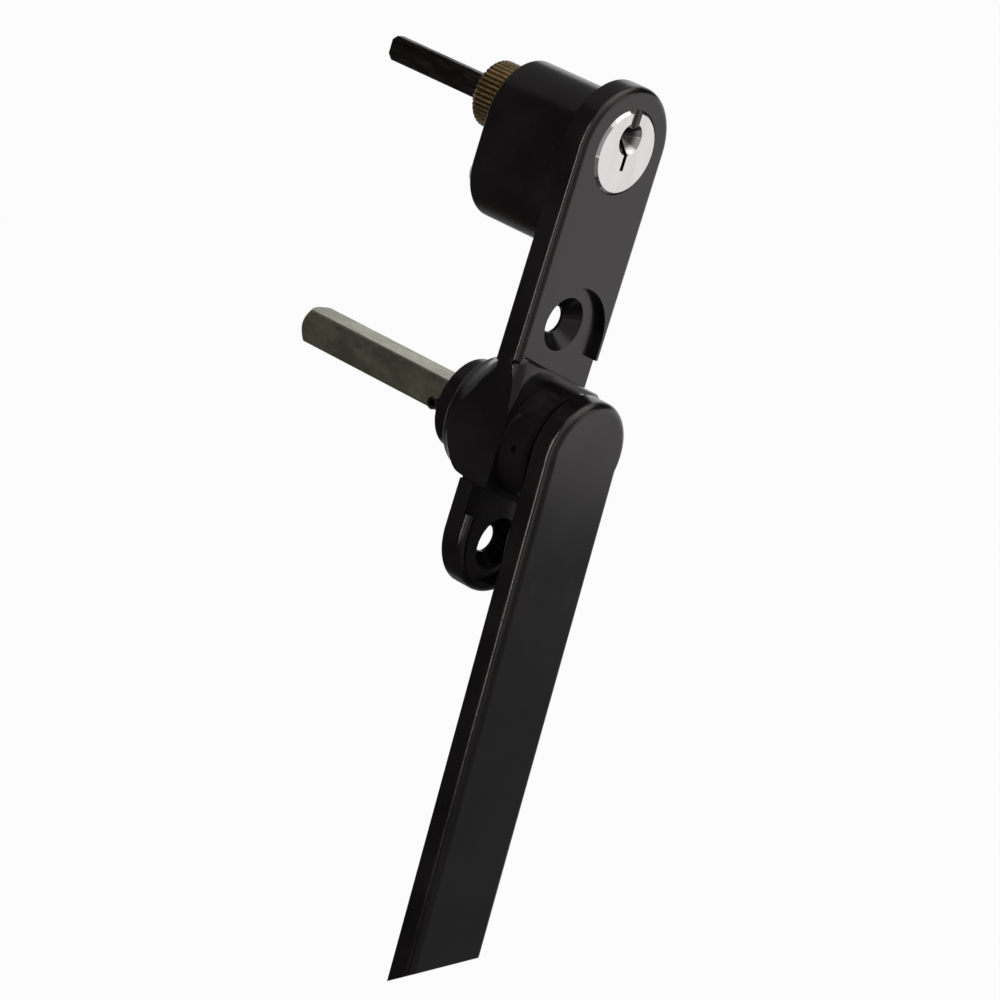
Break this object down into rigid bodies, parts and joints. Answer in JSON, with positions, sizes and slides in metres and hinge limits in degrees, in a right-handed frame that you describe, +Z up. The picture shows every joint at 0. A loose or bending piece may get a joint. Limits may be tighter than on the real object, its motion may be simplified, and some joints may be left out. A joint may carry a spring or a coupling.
{
  "type": "bi-fold door handle",
  "caption": "Bi-fold door handle: slim round-ended backplate with key lock and rear housing, hanging flat lever on a square spindle, knurled cap and flat tailpiece behind.",
  "frame": {"origin": "on the spindle's axis, in the plane of the backplate's mounting face, half way between the fixing holes", "axes": "+Z up the backplate towards the lock, +Y into the door along the spindle, +X to the right seen from the front"},
  "size_m": [0.0434, 0.0862, 0.2166],
  "materials": {
    "black_coat": "satin powder coat",
    "black_nylon": "moulded",
    "passivated_steel": "yellow zinc passivate, scuffed",
    "dark_steel": "oiled",
    "bright_steel": "bright zinc",
    "chrome_face": "polished plate",
    "brass": "machined"
  },
  "bodies": {
    "plate": {"backplate": "black_coat", "hub_bush": "black_nylon", "front_washer": "black_nylon", "rear_washer": "black_nylon", "cylinder_shell": "brass", "chamber_cover": "brass", "driver_pins": "brass", "pin_springs": "bright_steel", "lock_screws": "bright_steel"},
    "lever": {"lever": "black_coat", "spindle": "passivated_steel", "grub_screw": "dark_steel", "hub_collar": "black_coat", "spindle_pin": "dark_steel"},
    "plug": {"lock_plug": "chrome_face", "key_pins": "brass", "knurled_cap": "brass", "tailpiece": "dark_steel"}
  },
  "joints": [
    {"name": "lever_turn", "type": "hinge", "parent": "plate", "child": "lever", "pos_m": [0, 0, 0], "axis": [0, 1, 0], "range_deg": [0, 90]},
    {"name": "lock_turn", "type": "hinge", "parent": "plate", "child": "plug", "pos_m": [0, 0, 0.0684], "axis": [0, 1, 0], "range_deg": [0, 90]}
  ]
}
